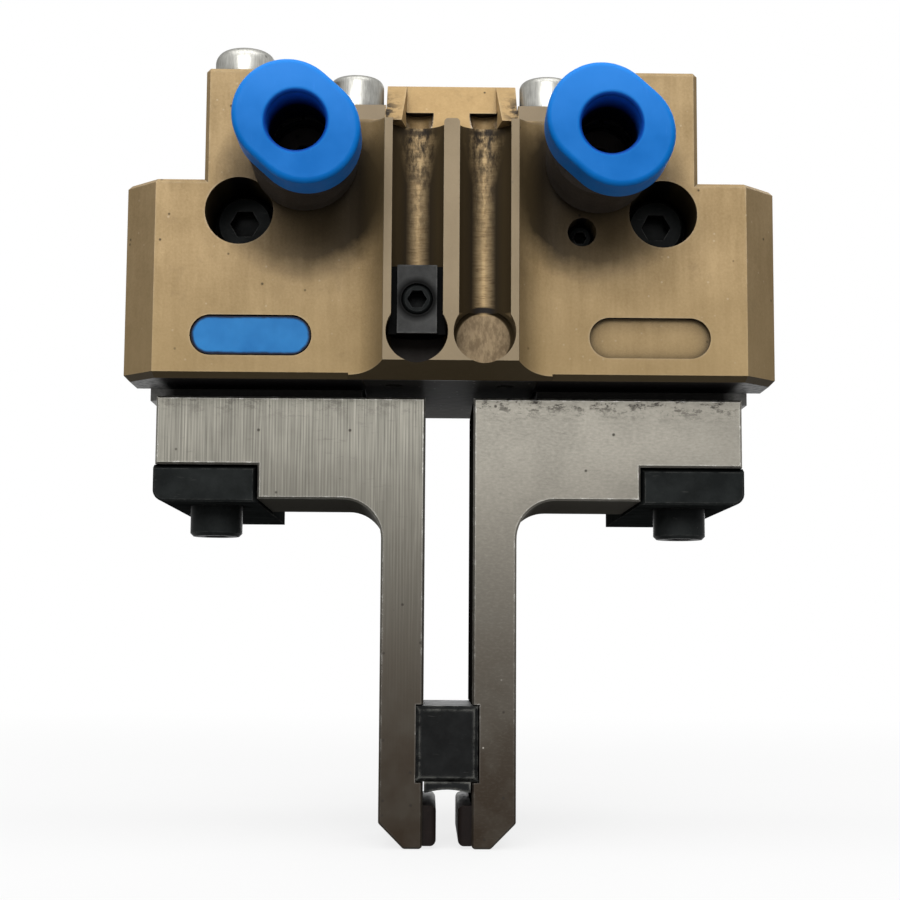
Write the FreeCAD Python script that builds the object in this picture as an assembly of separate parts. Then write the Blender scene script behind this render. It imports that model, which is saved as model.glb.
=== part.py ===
"""Small pneumatic parallel gripper with two L-shaped fingers, in millimetres.

X runs across the gripper, Y from the front to the back, Z up. The origin is the middle of the
two mounting holes on the back face. The fingers point down and stand closed.
"""
import FreeCAD
import Part
import math
import os

V = FreeCAD.Vector

# Housing: a wide lower block with a narrower tower on it
housing_width = 50.0
housing_depth = 24.0
housing_height = 24.0
wing_height = 15.3
wing_step = 6.17
corner_chamfer = 2.5
bottom_chamfer = 0.45
edge_break = 0.3
fine_edge_break = 0.15

# Sensor ridge on the front face, with two round grooves
ridge_width = 10.2
ridge_proud = 1.45
ridge_blend = 2.6
ridge_drop = 0.27
rib_rounding = 0.3
nose_rise = 1.25
groove_spacing = 5.1
groove_mouth = 3.9
groove_radius = 2.25
groove_lip = 0.5
groove_entry_radius = 2.35
groove_entry_height = 3.43
groove_entry_bevel = 0.3

# Name-plate recesses at the foot of the front face
plate_length = 9.2
plate_height = 3.1
plate_inset = 9.9
plate_level = 3.27
plate_gap = 0.1
recess_depth = 0.55
plate_thickness = 0.45

# Mounting screws, pushed through from the front
mount_spacing = 32.3
mount_level = 12.85
mount_sink = 4.5
mount_stickout = 5.0
mount_neck_radius = 1.1

# Bleed hole with its grub screw, on the right of the front face
bleed_offset = 9.95
bleed_level = 11.4
bleed_radius = 1.05
bleed_depth = 4.0
bleed_sink = 2.0
bleed_gap = 0.05
bleed_socket = 0.9

# Screws: thread radius, head radius, head height, width of the hexagon socket
screw_m2 = (1.0, 1.9, 2.0, 1.5)
screw_m2_5 = (1.25, 2.25, 2.5, 2.0)
screw_clamp = (1.25, 2.05, 2.4, 2.0)
screw_cover = (1.0, 2.1, 2.55, 1.5)
screw_plug = (1.25, 2.35, 2.1, 2.0)
screw_flat = (1.0, 1.5, 0.5, 1.2)
screw_hole_gap = 0.2
head_gap = 0.35
thread_tip = 0.3
head_bevel = 0.25
socket_floor = 0.45

# Cylinder, piston and cover
bore_radius = 8.0
floor_wall = 1.7
spigot_depth = 1.55
spigot_bevel = 0.5
spigot_land = 0.55
piston_height = 4.8
piston_stop_gap = 0.15
piston_gap = 0.05
rod_radius = 3.0
cover_width = 20.4
cover_height = 3.95
cover_flange = 1.15
cover_block_width = 10.1
cover_slope_back = 4.2
cover_channel_width = 7.0
cover_channel_flare = 0.5
cover_notch_radius = 1.1
cover_notch_height = 1.45
cover_screw_spacing = 14.75
cover_screw_inset = 2.3
cover_screw_length = 6.0
cover_screw_rounding = 0.6
cover_head_gap = 0.15
hole_spare = 0.5
seal_section = 0.9
seal_gap = 0.02
seal_level = 1.2
magnet_inner_wall = 1.6
magnet_outer_wall = 1.0
magnet_height = 1.5
piston_foot_bevel = 0.3
piston_head_bevel = 0.4
piston_screw_length = 8.0
piston_screw_sink = 0.2
air_drill_radius = 0.6

# Plug screw on top of the left tower
plug_side = 2.7
plug_inset = 3.0
plug_rounding = 1.0
plug_screw_length = 5.0

# Jaw guide and wedge drive
guide_mouth = 11.4
guide_width = 15.4
guide_lip = 3.0
guide_gap = 0.05
jaw_stroke = 3.0
jaw_inset = 1.5
jaw_below = 0.95
jaw_clear = 0.3
wedge_angle = 45.0
wedge_width = 8.0
wedge_foot = 0.6
wedge_slip = 0.06
rail_neck = 2.4
rail_head = 4.4
rail_neck_height = 0.8
rail_head_height = 0.9
guard_width = 13.2
guard_thickness = 0.6
guard_inset = 0.8
guard_screw_spacing = 8.6
guard_screw_inset = 3.5
guard_screw_length = 2.9

# Fingers, their clamps and what they carry
finger_gap = 3.72
finger_inset = 0.93
finger_front = 3.3
finger_thickness = 14.0
finger_arm = 7.89
finger_leg = 3.33
finger_length = 34.2
finger_corner_radius = 3.0
finger_tip_chamfer = 1.9
finger_tip_rounding = 0.3
clamp_width = 7.87
clamp_height = 2.87
clamp_notch = 2.62
clamp_out = 0.15
clamp_length = 27.0
clamp_corner_radius = 0.9
clamp_bevel = 0.35
clamp_bevel_depth = 0.8
clamp_screw_inset = 4.22
clamp_screw_front = 5.1
clamp_screw_bite = 4.0
dowel_radius = 1.0
dowel_length = 3.0
dowel_bevel = 0.15
dowel_pitch = 5.4
pad_thickness = 1.03
pad_height = 3.0
pad_lift = 0.2
pad_edge = 0.45
block_width = 4.64
block_height = 5.66
block_level = 23.53
block_depth = 14.0
block_proud = 0.2
block_lip_height = 0.8
block_lip_arch = 0.22
block_gap = 0.1

# Push-in fittings for air tube
tube_radius = 2.0
tube_gap = 0.1
port_spacing = 22.2
port_drop = 7.37
port_radius = 1.5
port_depth = 5.5
port_gap = 0.05
port_bore_radius = 0.8
gasket_thickness = 0.7
gasket_radius = 3.3
fitting_radius = 4.0
fitting_height = 7.1
fitting_mouth_radius = 3.25
fitting_chamber_radius = 3.5
fitting_mouth_depth = 0.6
fitting_foot_bevel = 0.3
fitting_head_bevel = 0.5
tube_stop_wall = 1.2
tube_guide = 0.7
collet_height = 0.6
collet_rim = 0.35
collet_rim_height = 0.3
collet_slit = 0.24
collet_gap = 0.1
bead_gap = 0.05
ring_length = 9.56
ring_width = 7.8
ring_tilt = -42.0
ring_travel = 0.8
ring_gap = 0.15
ring_height = 3.1
ring_rounding = 0.4
ring_lip = 0.35
ring_sleeve_radius = 3.2
ring_bead_radius = 3.42

# Stop clamped in the left groove
stop_width = 3.0
stop_height = 5.2
stop_level = 3.4
stop_sink = 0.75
stop_gap = 0.08
stop_screw_radius = 1.2
stop_screw_socket = 1.3
stop_shoulder = 0.2

# How far a cutting shape runs past the faces that it cuts
spare = 1.0

# Planes and centres worked out from the sizes above
front = -housing_depth
middle = -housing_depth / 2
bottom = -mount_level
half_width = housing_width / 2
tower_half = half_width - wing_step
top = bottom + housing_height
groove_axis = front - ridge_proud + groove_lip + math.sqrt(groove_radius ** 2 - groove_mouth ** 2 / 4)
groove_back = groove_axis + groove_radius
cover_seat = housing_height - cover_height
cover_run = front + cover_slope_back - groove_back
ridge_height = cover_seat - ridge_drop
port_level = housing_height - port_drop
wedge_tan = math.tan(math.radians(wedge_angle))
piston_stroke = jaw_stroke / wedge_tan
bore_ceiling = cover_seat - spigot_depth
bore_floor = bore_ceiling - piston_height - piston_stroke - 2 * piston_stop_gap
guide_ceiling = bore_floor - floor_wall
jaw_outer = half_width - jaw_inset
jaw_bottom = bottom - jaw_below
jaw_top = bottom + guide_ceiling - guide_gap
finger_outer = jaw_outer - finger_inset
finger_inner = finger_gap / 2
finger_top = jaw_bottom
finger_bottom = finger_top - finger_length
finger_front_face = front + finger_front
clamp_inner = finger_outer - clamp_width
clamp_top = finger_top - finger_arm + clamp_notch
clamp_bottom = clamp_top - clamp_height
clamp_screw_x = finger_outer - clamp_screw_inset
clamp_screw_y = finger_front_face + clamp_screw_front
piston_top = bottom + bore_ceiling - piston_stop_gap
piston_bottom = piston_top - piston_height
wedge_top = bottom + guide_ceiling - jaw_clear
wedge_bottom = bottom + guard_thickness + jaw_clear + piston_stroke
wedge_height = wedge_top - wedge_bottom
plate_x = half_width - plate_inset
plug_spot = V(plug_side - tower_half, front + plug_inset, top)
rod_groove_outer = rod_radius + seal_section
rod_groove_low = bottom + (guide_ceiling + bore_floor - seal_section) / 2
spigot_groove_low = bottom + bore_ceiling + spigot_land
magnet_inner = rod_radius + magnet_inner_wall
magnet_outer = bore_radius - magnet_outer_wall
piston_seal_low = piston_top - seal_level - seal_section
piston_screw_seat = V(0, middle, piston_top - screw_m2[2] - piston_screw_sink)
clamp_screw_length = clamp_height + finger_arm - clamp_notch + clamp_screw_bite
stop_face = front - ridge_proud + stop_sink
stop_screw_seat = V(-groove_spacing / 2, stop_face, bottom + stop_level + stop_height / 2)

# Heights in a fitting, counted from the housing face outwards
tube_hole = tube_radius + tube_gap
tube_seat = gasket_thickness + tube_stop_wall
tube_seal_low = tube_seat + tube_guide
collet_low = tube_seal_low + seal_section + ring_gap
mouth_low = fitting_height - fitting_mouth_depth
bead_top = mouth_low - bead_gap
sleeve_end = collet_low + collet_height + collet_gap + ring_travel
ring_low = fitting_height + ring_travel + ring_gap
ring_top = ring_low + ring_height


def box(x0, x1, y0, y1, z0, z1):
    return Part.makeBox(x1 - x0, y1 - y0, z1 - z0, V(x0, y0, z0))


def rod(radius, start, end):
    return Part.makeCylinder(radius, (end - start).Length, start, end - start)


def upright(radius, z0, z1):
    """A round bar on the axis of the cylinder."""
    return rod(radius, V(0, middle, z0), V(0, middle, z1))


def prism(points, sweep):
    return Part.Face(Part.makePolygon(points + points[:1])).extrude(sweep)


def prism_xz(points, y0, y1):
    return prism([V(x, y0, z) for x, z in points], V(0, y1 - y0, 0))


def prism_yz(points, x0, x1):
    return prism([V(x0, y, z) for y, z in points], V(x1 - x0, 0, 0))


def prism_xy(points, z0, z1):
    return prism([V(x, y, z0) for x, y in points], V(0, 0, z1 - z0))


def lathe(profile):
    """Turn a closed (radius, height) outline about the Z axis."""
    outline = [V(r, 0, z) for r, z in profile]
    face = Part.Face(Part.makePolygon(outline + outline[:1]))
    return face.revolve(V(0, 0, 0), V(0, 0, 1), 360)


def place(shape, point, direction):
    """Move a shape made along +Z so that it starts at a point and runs along a direction."""
    turned = shape.copy()
    turned.Placement = FreeCAD.Placement(point, FreeCAD.Rotation(V(0, 0, 1), direction))
    return turned


def mirrored(shape):
    return shape.mirror(V(0, 0, 0), V(1, 0, 0))


def obround(length, height, x, z, y0, y1):
    """A slot shape with round ends, lying along X and running back from y0 to y1."""
    straight = (length - height) / 2
    shape = box(x - straight, x + straight, y0, y1, z - height / 2, z + height / 2)
    for side in (-straight, straight):
        shape = shape.fuse(rod(height / 2, V(x + side, y0, z), V(x + side, y1, z)))
    return shape.removeSplitter()


def hexagon(across_flats, z0, z1):
    corner = across_flats / math.sqrt(3)
    angles = [math.radians(60 * i) for i in range(6)]
    return prism_xy([(corner * math.cos(a), corner * math.sin(a)) for a in angles], z0, z1)


def cap_screw(size, length, rounding=0, neck=None):
    """Socket-head screw along Z: the head stands above z = 0 and the shank hangs below.

    The head's rim has a bevel, or a rounding where one is given. A neck, given as its radius and
    length, is a thinner part of the shank under the head.
    """
    thread, head, height, socket = size
    rim = [(head, height)] if rounding else [(head, height - head_bevel), (head - head_bevel, height)]
    neck_radius, neck_length = neck or (thread, 0)
    shank = [(thread - thread_tip, -length), (thread, thread_tip - length), (thread, -neck_length)]
    if neck:
        shank += [(neck_radius, -neck_length), (neck_radius, 0)]
    body = lathe([(0, -length)] + shank + [(head, 0)] + rim + [(0, height)])
    if rounding:
        body = body.makeFillet(rounding, edges_at(body, lambda e: e.BoundBox.ZMin > height - 0.01))
    return body.cut(hexagon(socket, height * socket_floor, height + spare))


def flat_screw(size, length):
    """Countersunk screw along Z with its flat top at z = 0."""
    thread, head, depth, socket = size
    body = lathe([(0, -length), (thread, -length), (thread, -depth), (head, 0), (0, 0)])
    return body.cut(hexagon(socket, depth * (socket_floor - 1), spare))


def grub_screw(radius, length, socket):
    """Headless set screw along Z with its socket end at z = 0."""
    body = lathe([
        (0, -length), (radius - thread_tip, -length), (radius, thread_tip - length),
        (radius, -head_bevel), (radius - head_bevel, 0), (0, 0),
    ])
    return body.cut(hexagon(socket, -length / 2, spare))


def seal_ring(inner, outer, z0, z1):
    """Ring seal with softened corners, along Z."""
    soft = min(outer - inner, z1 - z0) * 0.25
    return lathe([
        (inner, z0 + soft), (inner + soft, z0), (outer - soft, z0), (outer, z0 + soft),
        (outer, z1 - soft), (outer - soft, z1), (inner + soft, z1), (inner, z1 - soft),
    ])


def seal_groove(low):
    """Cut for a seal in the outside of the piston or the cover's spigot."""
    ring = upright(bore_radius, low, low + seal_section)
    return ring.cut(upright(bore_radius - seal_section, low, low + seal_section))


def edges_at(shape, test):
    return [e for e in shape.Edges if test(e)]


def put(name, *solids):
    shape = solids[0] if len(solids) == 1 else Part.makeCompound(list(solids))
    shape.exportStep(f"parts/{name}.step")


# Shapes that the housing is cut to, shared with the pieces that sit in them
def ridge_plan():
    """Plan of the ridge: a flat front between two hollow blends into the face."""
    radius = (ridge_blend ** 2 + ridge_proud ** 2) / (2 * ridge_proud)
    half = ridge_width / 2
    foot = half + ridge_blend
    edges = [Part.makeLine(V(-half, front - ridge_proud, 0), V(half, front - ridge_proud, 0))]
    for side in (1, -1):
        turn = math.asin(ridge_blend / radius) / 2
        bow = V(side * (foot - radius * math.sin(turn)), front - radius * (1 - math.cos(turn)), 0)
        start = V(side * half, front - ridge_proud, 0)
        edges.append(Part.Arc(start, bow, V(side * foot, front, 0)).toShape())
        edges.append(Part.makeLine(V(side * foot, front, 0), V(side * foot, front + spare, 0)))
    edges.append(Part.makeLine(V(-foot, front + spare, 0), V(foot, front + spare, 0)))
    return Part.Face(Part.Wire(Part.__sortEdges__(edges)))


def groove_cut(x, z1):
    """One sensor groove: a round bore behind a narrower mouth, with a round entry at the foot."""
    z0 = bottom + groove_entry_height
    outside = front - ridge_proud - spare
    mouth = box(x - groove_mouth / 2, x + groove_mouth / 2, outside, groove_axis, z0, z1)
    bore = rod(groove_radius, V(x, groove_axis, z0), V(x, groove_axis, z1))
    deep = groove_back - outside
    entry = lathe([
        (0, 0), (groove_entry_radius - groove_entry_bevel, 0), (groove_entry_radius, groove_entry_bevel),
        (groove_entry_radius, deep), (0, deep),
    ])
    entry = place(entry, V(x, groove_back, z0), V(0, -1, 0))
    return mouth.fuse(bore).fuse(entry)


def guide_cut():
    """The T-shaped guide for both base jaws, open at both ends."""
    reach = half_width + spare
    mouth = box(-reach, reach, middle - guide_mouth / 2, middle + guide_mouth / 2,
                bottom - spare, bottom + guide_lip)
    head = box(-reach, reach, middle - guide_width / 2, middle + guide_width / 2,
               bottom + guide_lip, bottom + guide_ceiling)
    return mouth.fuse(head)


def corner_spots(spacing, inset, z):
    """Four places, two along each of the front and back faces."""
    ys = (front + inset, -inset)
    return [V(side * spacing / 2, y, z) for side in (-1, 1) for y in ys]


def cover_screw_spots():
    return corner_spots(cover_screw_spacing, cover_screw_inset, bottom + cover_seat + cover_flange)


def guard_screw_spots():
    return corner_spots(guard_screw_spacing, guard_screw_inset, bottom)


def mount_spots():
    return [V(side * mount_spacing / 2, front + mount_sink + screw_m2_5[2], 0) for side in (-1, 1)]


def make_housing():
    chamfer = corner_chamfer
    plan = [
        (-half_width + chamfer, front), (half_width - chamfer, front),
        (half_width, front + chamfer), (half_width, -chamfer),
        (half_width - chamfer, 0), (-half_width + chamfer, 0),
        (-half_width, -chamfer), (-half_width, front + chamfer),
    ]
    wing = prism_xy(plan, bottom, bottom + wing_height)
    wing = wing.makeChamfer(edge_break, edges_at(wing, lambda e: e.BoundBox.ZMin > 0))
    wing = wing.makeChamfer(bottom_chamfer, edges_at(wing, lambda e: e.BoundBox.ZMax < bottom + 0.01))
    tower = box(-tower_half, tower_half, front, 0, bottom + wing_height - spare, top)
    tower = tower.makeChamfer(edge_break, edges_at(tower, lambda e: e.BoundBox.ZMax > top - 0.01))
    ridge = ridge_plan().extrude(V(0, 0, ridge_height))
    ridge.translate(V(0, 0, bottom))
    body = wing.fuse(tower).fuse(ridge).removeSplitter()

    # Slanting nose of the ridge
    run = 2 * (bottom_chamfer + ridge_proud)
    foot = front + bottom_chamfer
    reach = ridge_width / 2 + ridge_blend + spare
    body = body.cut(prism_yz([
        (foot, bottom), (foot - run, bottom + 2 * nose_rise), (foot - run, bottom - spare),
        (foot, bottom - spare),
    ], -reach, reach))

    # Sensor grooves, plate recesses, bleed hole
    for side in (-1, 1):
        body = body.cut(groove_cut(side * groove_spacing / 2, top + spare))
        body = body.cut(obround(plate_length, plate_height, side * plate_x, bottom + plate_level,
                                front - spare, front + recess_depth))
    rib_half = (groove_spacing - groove_mouth) / 2
    rib_corners = edges_at(body, lambda e: abs(e.BoundBox.ZMin - bottom - ridge_height) < 0.01
                           and e.BoundBox.XLength < 0.01
                           and abs(abs(e.BoundBox.XMin) - rib_half) < 0.01)
    body = body.makeFillet(rib_rounding, rib_corners)
    bleed = V(bleed_offset, front, bottom + bleed_level)
    body = body.cut(rod(bleed_radius + bleed_gap, bleed - V(0, spare, 0), bleed + V(0, bleed_depth, 0)))

    # Seat of the cover, cylinder, rod hole with its seal groove, jaw guide
    body = body.cut(box(-cover_width / 2, cover_width / 2, front - ridge_proud - spare, spare,
                        bottom + cover_seat, top + spare))
    body = body.cut(upright(bore_radius, bottom + bore_floor, top))
    body = body.cut(upright(rod_radius + piston_gap, bottom, bottom + bore_floor + spare))
    body = body.cut(upright(rod_groove_outer, rod_groove_low, rod_groove_low + seal_section))
    body = body.cut(guide_cut())
    body = body.cut(box(-guard_width / 2 - guide_gap, guard_width / 2 + guide_gap, front + guard_inset,
                        -guard_inset, bottom - spare, bottom + guard_thickness))

    # Screw holes
    clearance = screw_m2_5[0] + screw_hole_gap
    for spot in mount_spots():
        outside = V(spot.x, front - spare, 0)
        body = body.cut(rod(clearance, outside, V(spot.x, spare, 0)))
        body = body.cut(rod(screw_m2_5[1] + head_gap, outside, spot))
    for spot in cover_screw_spots():
        body = body.cut(rod(screw_cover[0], spot, spot - V(0, 0, cover_screw_length)))
    for spot in guard_screw_spots():
        body = body.cut(rod(screw_flat[0], spot, spot + V(0, 0, guard_screw_length)))
    body = body.cut(rod(screw_plug[0], plug_spot - V(0, 0, plug_screw_length), plug_spot + V(0, 0, spare)))

    # Air ports, and the slanting drillings to the two ends of the cylinder
    low = bore_floor + air_drill_radius + piston_stop_gap
    for side, level in ((-1, bore_ceiling - air_drill_radius), (1, low)):
        mouth = V(side * port_spacing / 2, front, bottom + port_level)
        end = mouth + V(0, port_depth, 0)
        inside = V(side * bore_radius * 0.5, middle - bore_radius * 0.7, bottom + level)
        body = body.cut(rod(port_radius + port_gap, mouth - V(0, spare, 0), end))
        body = body.cut(rod(air_drill_radius, end - V(0, spare, 0), inside))
    return body


def make_cover():
    low = bottom + cover_seat
    reach = cover_width / 2 - guide_gap
    half = cover_block_width / 2
    plate = box(-reach, reach, front, 0, low, low + cover_flange)
    plate = plate.cut(box(-half, half, front - spare, middle, low - spare, top))
    block = prism_yz([(front, low), (front + cover_slope_back, top), (0, top), (0, low)], -half, half)

    # Steeper channel down the middle of the slope, from the back of the grooves, with flared sides
    floor = cover_channel_width / 2
    flare = floor + cover_channel_flare
    block = block.cut(prism([
        V(-flare, front - spare, low), V(flare, front - spare, low), V(floor, groove_back, low),
        V(-floor, groove_back, low),
    ], V(0, cover_run, cover_height)))

    # Round notch above the head of each groove
    rise = cover_notch_height
    for side in (-1, 1):
        end = V(side * groove_spacing / 2, groove_back + rise * cover_run / cover_height, low + rise)
        block = block.cut(rod(cover_notch_radius, end - V(0, 0, rise + spare), end))

    # Spigot in the cylinder, with a groove for its seal and a bevel that lets air past
    deep = cover_seat - bore_ceiling
    fit = bore_radius - piston_gap
    spigot = lathe([(0, 0), (fit - spigot_bevel, 0), (fit, spigot_bevel), (fit, deep), (0, deep)])
    spigot.translate(V(0, middle, bottom + bore_ceiling))
    cover = plate.fuse(block).fuse(spigot).removeSplitter()
    cover = cover.cut(seal_groove(spigot_groove_low))
    for spot in cover_screw_spots():
        below = spot - V(0, 0, cover_flange + spare)
        cover = cover.cut(rod(screw_cover[0] + screw_hole_gap, spot + V(0, 0, spare), below))
        cover = cover.cut(rod(screw_cover[1] + cover_head_gap, spot, spot + V(0, 0, housing_height)))
    return cover


def make_bore_seal(low):
    """Seal of the cover or of the piston, in its groove and a hair clear of the bore."""
    ring = seal_ring(bore_radius - seal_section, bore_radius - seal_gap, seal_gap, seal_section - seal_gap)
    ring.translate(V(0, middle, low))
    return ring


def make_rod_seal():
    ring = seal_ring(rod_radius + seal_gap, rod_groove_outer, seal_gap, seal_section - seal_gap)
    ring.translate(V(0, middle, rod_groove_low))
    return ring


def make_guard():
    plate = box(-guard_width / 2, guard_width / 2, front + guard_inset, -guard_inset,
                bottom, bottom + guard_thickness)
    thread, head, depth, _ = screw_flat
    sink = lathe([(0, -depth), (thread, -depth), (head + seal_gap, seal_gap), (0, seal_gap)])
    for spot in guard_screw_spots():
        above = spot + V(0, 0, guard_thickness + spare)
        plate = plate.cut(rod(thread + screw_hole_gap, spot - V(0, 0, spare), above))
        plate = plate.cut(place(sink, spot, V(0, 0, -1)))
    return plate


# Drive: piston, seal, magnet, screw and wedge
def make_piston():
    radius = bore_radius - piston_gap
    disc = lathe([
        (0, 0), (radius - piston_foot_bevel, 0), (radius, piston_foot_bevel),
        (radius, piston_height - piston_head_bevel), (radius - piston_head_bevel, piston_height),
        (0, piston_height),
    ])
    disc.translate(V(0, middle, piston_bottom))
    disc = disc.cut(seal_groove(piston_seal_low))
    disc = disc.cut(make_piston_magnet())
    disc = disc.cut(upright(screw_m2[0] + screw_hole_gap, piston_bottom - spare, piston_top))
    return disc.cut(upright(screw_m2[1] + head_gap, piston_screw_seat.z, piston_top + spare))


def make_piston_magnet():
    ring = upright(magnet_outer, piston_bottom, piston_bottom + magnet_height)
    return ring.cut(upright(magnet_inner, piston_bottom - spare, piston_top))


def flank_bar(width, low, high, length):
    """A bar along the right flank of the wedge, between two heights above the flank."""
    bar = box(low, high, -width / 2, width / 2, -length, length)
    bar.rotate(V(0, 0, 0), V(0, 1, 0), wedge_angle)
    bar.translate(V(wedge_foot, middle, wedge_bottom))
    return bar


def wedge_rails(gap, length):
    neck_top = rail_neck_height
    head_top = neck_top + rail_head_height
    neck = flank_bar(rail_neck + 2 * gap, -rail_neck_height, neck_top + gap, length)
    head = flank_bar(rail_head + 2 * gap, neck_top - gap, head_top + gap, length)
    return neck.fuse(head)


def make_wedge():
    head_half = wedge_foot + wedge_height * wedge_tan
    block = prism_xz([(-wedge_foot, wedge_bottom), (wedge_foot, wedge_bottom), (head_half, wedge_top),
                      (-head_half, wedge_top)], middle - wedge_width / 2, middle + wedge_width / 2)
    rail = wedge_rails(0, 3 * wedge_height)
    room = box(0, half_width, middle - wedge_width, middle + wedge_width, wedge_bottom, wedge_top)
    rail = rail.common(room)
    block = block.fuse(rail).fuse(mirrored(rail))
    block = block.fuse(upright(rod_radius, wedge_top - spare, piston_bottom))
    seat = piston_screw_seat
    return block.cut(rod(screw_m2[0], seat, seat - V(0, 0, piston_screw_length))).removeSplitter()


# Right-hand jaw; the left one is its mirror image
def make_jaw():
    inner = jaw_clear
    shelf = bottom + guard_thickness + jaw_clear
    flank_top = wedge_foot + (jaw_top - wedge_bottom) * wedge_tan
    flank_top += guide_gap / math.cos(math.radians(wedge_angle))
    knee = jaw_top - (flank_top - inner) / wedge_tan
    guard_edge = guard_width / 2 + jaw_clear
    jaw = prism_xz([
        (jaw_outer, jaw_bottom), (jaw_outer, jaw_top), (flank_top, jaw_top), (inner, knee), (inner, shelf),
        (guard_edge, shelf), (guard_edge, jaw_bottom),
    ], middle - guide_width / 2 + guide_gap, middle + guide_width / 2 - guide_gap)
    neck = guide_mouth / 2 - guide_gap
    for y0, y1 in ((middle - guide_width, middle - neck), (middle + neck, middle + guide_width)):
        jaw = jaw.cut(box(0, half_width, y0, y1, jaw_bottom - spare, bottom + guide_lip + guide_gap))
    jaw = jaw.cut(wedge_rails(wedge_slip, 4 * guide_ceiling))
    start = V(clamp_screw_x, clamp_screw_y, jaw_bottom - spare)
    end = V(clamp_screw_x, clamp_screw_y, clamp_bottom + clamp_screw_length + hole_spare)
    jaw = jaw.cut(rod(screw_clamp[0], start, end))
    for spot in dowel_spots():
        jaw = jaw.cut(rod(dowel_radius, spot - V(0, 0, spare), spot + V(0, 0, dowel_length / 2)))
    return jaw


def dowel_spots():
    x = (guard_width / 2 + clamp_screw_x) / 2
    y = finger_front_face + finger_thickness / 2
    return [V(x, y + side * dowel_pitch / 2, jaw_bottom) for side in (-1, 1)]


def make_finger():
    """L-shaped finger: an arm under the jaw and a slim leg with a rounded inner corner."""
    leg_outer = finger_inner + finger_leg
    arm_bottom = finger_top - finger_arm
    bend = finger_corner_radius
    tip = finger_tip_chamfer
    corners = [
        (finger_inner, finger_top), (finger_outer, finger_top), (finger_outer, clamp_top),
        (clamp_inner, clamp_top), (clamp_inner, arm_bottom), (leg_outer + bend, arm_bottom),
        (leg_outer, arm_bottom - bend), (leg_outer, finger_bottom + tip),
        (leg_outer - tip, finger_bottom), (finger_inner, finger_bottom),
    ]
    points = [V(x, finger_front_face, z) for x, z in corners]
    edges = []
    for i, start in enumerate(points):
        end = points[(i + 1) % len(points)]
        if i == 5:
            reach = bend * (1 - math.sqrt(0.5))
            bow = V(leg_outer + reach, finger_front_face, arm_bottom - reach)
            edges.append(Part.Arc(start, bow, end).toShape())
        else:
            edges.append(Part.makeLine(start, end))
    finger = Part.Face(Part.Wire(edges)).extrude(V(0, finger_thickness, 0))
    tip_edges = edges_at(finger, lambda e: e.BoundBox.ZMax < finger_bottom + tip + 0.01
                         and e.BoundBox.YLength > finger_thickness - 0.01)
    finger = finger.makeFillet(finger_tip_rounding, tip_edges)
    front_edges = edges_at(finger, lambda e: e.BoundBox.YMax < finger_front_face + 0.01)
    finger = finger.makeChamfer(fine_edge_break, front_edges)
    finger = finger.cut(clamp_screw_hole())
    for spot in dowel_spots():
        finger = finger.cut(rod(dowel_radius, spot + V(0, 0, spare), spot - V(0, 0, dowel_length / 2)))
    return finger.cut(block_notch())


def clamp_screw_hole():
    """Clearance hole for the clamp screw, through the clamp and the finger."""
    return rod(screw_clamp[0] + screw_hole_gap, V(clamp_screw_x, clamp_screw_y, clamp_bottom - spare),
               V(clamp_screw_x, clamp_screw_y, finger_top + spare))


def block_notch():
    """Room for the stop block in the inner front edge of a finger."""
    half = block_width / 2 + block_gap
    z1 = finger_top - block_level + block_gap
    return box(-half, half, finger_front_face - spare, finger_front_face + block_depth + block_gap,
               z1 - block_height - 2 * block_gap, z1)


def make_block():
    """Stop block: seated in the left finger's notch and just clear of the right finger's."""
    half = block_width / 2
    z1 = finger_top - block_level
    z0 = z1 - block_height
    y0 = finger_front_face - block_proud
    block = box(-half - block_gap, half, y0, finger_front_face + block_depth, z0, z1)
    block = block.makeChamfer(edge_break, edges_at(block, lambda e: e.BoundBox.YMax < y0 + 0.01))
    lip_half = finger_inner - block_gap
    lip = box(-lip_half, lip_half, y0, finger_front_face + block_depth, z0 - block_lip_height, z0)
    arch = lip_half - block_lip_arch
    arch_radius = (arch ** 2 + block_lip_arch ** 2) / (2 * block_lip_arch)
    centre = z0 - block_lip_height + block_lip_arch - arch_radius
    lip = lip.cut(rod(arch_radius, V(0, y0 - spare, centre), V(0, spare, centre)))
    return block.fuse(lip).removeSplitter()


def make_clamp():
    """Bar in the notch of the finger's arm, bevelled along the notch at its front end."""
    y0 = finger_front_face
    back = y0 + clamp_length
    outer = finger_outer + clamp_out
    clamp = box(clamp_inner, outer, y0, back, clamp_bottom, clamp_top)
    lower_outer = edges_at(clamp, lambda e: e.BoundBox.XMin > outer - 0.01
                           and e.BoundBox.ZMax < clamp_bottom + 0.01)
    clamp = clamp.makeFillet(clamp_corner_radius, lower_outer)
    ends = edges_at(clamp, lambda e: e.BoundBox.YMax < y0 + 0.01 or e.BoundBox.YMin > back - 0.01)
    clamp = clamp.makeChamfer(fine_edge_break, ends)
    deep = y0 + clamp_bevel_depth
    high = clamp_top - clamp_bevel
    side = clamp_inner + clamp_bevel
    clamp = clamp.cut(prism_yz([
        (y0, high), (deep, clamp_top), (deep, clamp_top + spare), (y0 - spare, clamp_top + spare),
        (y0 - spare, high),
    ], clamp_inner - spare, outer + spare))
    clamp = clamp.cut(prism_xy([
        (side, y0), (clamp_inner, deep), (clamp_inner - spare, deep), (clamp_inner - spare, y0 - spare),
        (side, y0 - spare),
    ], clamp_bottom - spare, clamp_top + spare))
    return clamp.cut(clamp_screw_hole())


def make_pad():
    """Rounded grip pad on the inner face of the finger tip."""
    z0 = finger_bottom + pad_lift
    pad = box(finger_inner - pad_thickness, finger_inner, finger_front_face + edge_break,
              finger_front_face + finger_thickness - edge_break, z0, z0 + pad_height)
    inner = edges_at(pad, lambda e: e.BoundBox.XMax < finger_inner - pad_thickness + 0.01)
    return pad.makeFillet(pad_edge, inner)


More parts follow.
